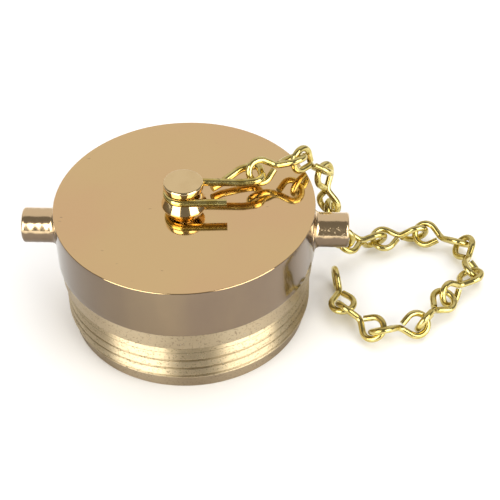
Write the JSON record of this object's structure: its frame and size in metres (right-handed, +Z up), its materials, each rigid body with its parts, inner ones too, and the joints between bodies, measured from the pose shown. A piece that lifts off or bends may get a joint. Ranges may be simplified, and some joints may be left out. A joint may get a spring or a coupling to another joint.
{
  "type": "threaded hose plug with chain",
  "caption": "Brass male-threaded hose blanking plug with side lugs, a grooved chain post, a swivelling wire hook and a retaining chain of figure-eight wire links.",
  "frame": {"origin": "on the plug's axis, in the plane of the threaded end's face", "axes": "+Z up the axis towards the polished cap face, +X along the spanner lugs towards the lug that the chain hangs beside"},
  "size_m": [0.1472, 0.081, 0.0521],
  "materials": {
    "polished_brass": "polished top, satin sides",
    "turned_brass": "turned and polished",
    "hook_brass": "drawn wire",
    "chain_brass": "drawn wire"
  },
  "bodies": {
    "plug": {"plug_body": "polished_brass", "chain_post": "turned_brass"},
    "hook": {"wire_hook": "hook_brass"},
    "link_01": {"chain_link_01": "chain_brass"},
    "link_02": {"chain_link_02": "chain_brass"},
    "link_03": {"chain_link_03": "chain_brass"},
    "link_04": {"chain_link_04": "chain_brass"},
    "link_05": {"chain_link_05": "chain_brass"},
    "link_06": {"chain_link_06": "chain_brass"},
    "link_07": {"chain_link_07": "chain_brass"},
    "link_08": {"chain_link_08": "chain_brass"},
    "link_09": {"chain_link_09": "chain_brass"},
    "link_10": {"chain_link_10": "chain_brass"},
    "link_11": {"chain_link_11": "chain_brass"},
    "link_12": {"chain_link_12": "chain_brass"},
    "link_13": {"chain_link_13": "chain_brass"}
  },
  "joints": [
    {"name": "hook_swivel", "type": "hinge", "parent": "plug", "child": "hook", "pos_m": [0, 0, 0.04725], "axis": [0, 0, 1], "range_deg": [-10, 140]},
    {"name": "link_01_swing", "type": "hinge", "parent": "hook", "child": "link_01", "pos_m": [0.0215, 0.0085, 0.0475], "axis": [0, 0, -1], "range_deg": [-12, 20]},
    {"name": "link_02_lift", "type": "hinge", "parent": "link_01", "child": "link_02", "pos_m": [0.03486, 0.01473, 0.04879], "axis": [0.6428, -0.766, 0], "range_deg": [0, 70]},
    {"name": "link_03_lift", "type": "hinge", "parent": "link_02", "child": "link_03", "pos_m": [0.04288, 0.02146, 0.03832], "axis": [-0.4226, -0.9063, 0], "range_deg": [0, 45]},
    {"name": "link_04_lift", "type": "hinge", "parent": "link_03", "child": "link_04", "pos_m": [0.04521, 0.02037, 0.02375], "axis": [-0.2588, -0.9659, 0], "range_deg": [0, 25]},
    {"name": "link_05_swing", "type": "hinge", "parent": "link_04", "child": "link_05", "pos_m": [0.0501, 0.01906, 0.00984], "axis": [0, 0, -1], "range_deg": [0, 12]},
    {"name": "link_06_swing", "type": "hinge", "parent": "link_05", "child": "link_06", "pos_m": [0.06214, 0.02601, 0.00478], "axis": [0, 0, 1], "range_deg": [0, 50]},
    {"name": "link_07_swing", "type": "hinge", "parent": "link_06", "child": "link_07", "pos_m": [0.07644, 0.02985, 0.00478], "axis": [0, 0, 1], "range_deg": [0, 70]},
    {"name": "link_08_swing", "type": "hinge", "parent": "link_07", "child": "link_08", "pos_m": [0.09034, 0.02478, 0.00478], "axis": [0, 0, 1], "range_deg": [0, 70]},
    {"name": "link_09_swing", "type": "hinge", "parent": "link_08", "child": "link_09", "pos_m": [0.09291, 0.01021, 0.00478], "axis": [0, 0, 1], "range_deg": [0, 65]},
    {"name": "link_10_swing", "type": "hinge", "parent": "link_09", "child": "link_10", "pos_m": [0.0834, -0.00113, 0.00478], "axis": [0, 0, 1], "range_deg": [0, 8]},
    {"name": "link_11_swing", "type": "hinge", "parent": "link_10", "child": "link_11", "pos_m": [0.07491, -0.01325, 0.00478], "axis": [0, 0, 1], "range_deg": [0, 22]},
    {"name": "link_12_swing", "type": "hinge", "parent": "link_11", "child": "link_12", "pos_m": [0.06062, -0.01708, 0.00478], "axis": [0, 0, 1], "range_deg": [0, 15]},
    {"name": "link_13_swing", "type": "hinge", "parent": "link_12", "child": "link_13", "pos_m": [0.05015, -0.00662, 0.00478], "axis": [0, 0, 1], "range_deg": [0, 25]}
  ]
}
